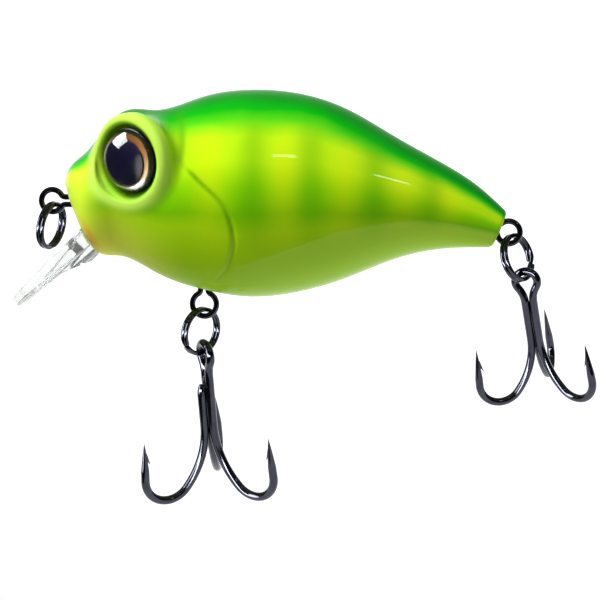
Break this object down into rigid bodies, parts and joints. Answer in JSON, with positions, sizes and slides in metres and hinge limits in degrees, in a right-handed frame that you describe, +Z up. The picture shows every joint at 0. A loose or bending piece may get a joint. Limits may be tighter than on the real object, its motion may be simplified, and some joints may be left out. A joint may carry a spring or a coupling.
{
  "type": "crankbait fishing lure",
  "caption": "Small fat-bodied crankbait with bulging eyes, a clear diving lip, split rings and swinging treble hooks.",
  "frame": {"origin": "centre of the nose wire eye, where the fishing line is tied; the lure hangs level from it", "axes": "+X runs from the nose to the tail, +Z is up from belly to back, +Y points to the lure's right side"},
  "size_m": [0.0548, 0.0183, 0.0401],
  "materials": {
    "body_paint": "chartreuse with a green back and faint bars under a thick gloss clear coat",
    "clear_lip": "clear moulded polycarbonate",
    "eye_black": "black",
    "eye_gold": "metallic gold film",
    "eye_lens": "clear cast dome",
    "black_nickel": "black nickel plated wire",
    "bare_steel": "bright steel ball"
  },
  "bodies": {
    "lure_body": {"left_body_shell": "body_paint", "right_body_shell": "body_paint", "diving_lip": "clear_lip", "left_eye_seat": "eye_black", "right_eye_seat": "eye_black", "left_eye_iris": "eye_gold", "right_eye_iris": "eye_gold", "left_eye_lens": "eye_lens", "right_eye_lens": "eye_lens", "nose_line_tie": "black_nickel", "belly_hanger": "black_nickel", "tail_hanger": "black_nickel", "ballast_weight": "bare_steel"},
    "nose_ring": {"nose_split_ring": "black_nickel"},
    "belly_ring": {"belly_split_ring": "black_nickel"},
    "tail_ring": {"tail_split_ring": "black_nickel"},
    "belly_treble": {"belly_treble_double_hook": "black_nickel", "belly_treble_single_hook": "black_nickel"},
    "tail_treble": {"tail_treble_double_hook": "black_nickel", "tail_treble_single_hook": "black_nickel"},
    "front_rattle": {"front_rattle_ball": "bare_steel"},
    "rear_rattle": {"rear_rattle_ball": "bare_steel"}
  },
  "joints": [
    {"name": "nose_ring_swing", "type": "hinge", "parent": "lure_body", "child": "nose_ring", "pos_m": [0, 0, 0], "axis": [0, 1, 0], "range_deg": [-10, 110]},
    {"name": "belly_ring_swing", "type": "hinge", "parent": "lure_body", "child": "belly_ring", "pos_m": [0.0145, 0, -0.00975], "axis": [0, 1, 0], "range_deg": [-40, 50]},
    {"name": "tail_ring_swing", "type": "hinge", "parent": "lure_body", "child": "tail_ring", "pos_m": [0.043, 0, -0.00275], "axis": [0, 1, 0], "range_deg": [-60, 20]},
    {"name": "belly_treble_swing", "type": "hinge", "parent": "belly_ring", "child": "belly_treble", "pos_m": [0.01413, 0, -0.01236], "axis": [0.8011, -0.5878, -0.1126], "range_deg": [-62, 28]},
    {"name": "tail_treble_swing", "type": "hinge", "parent": "tail_ring", "child": "tail_treble", "pos_m": [0.04385, 0, -0.00509], "axis": [0.7698, -0.5736, 0.2802], "range_deg": [-52, 38]},
    {"name": "front_rattle_roll", "type": "slide", "parent": "lure_body", "child": "front_rattle", "axis": [1, 0, 0], "range_m": [-0.0016, 0.0016]},
    {"name": "rear_rattle_roll", "type": "slide", "parent": "lure_body", "child": "rear_rattle", "axis": [1, 0, 0], "range_m": [-0.0016, 0.0016]}
  ]
}
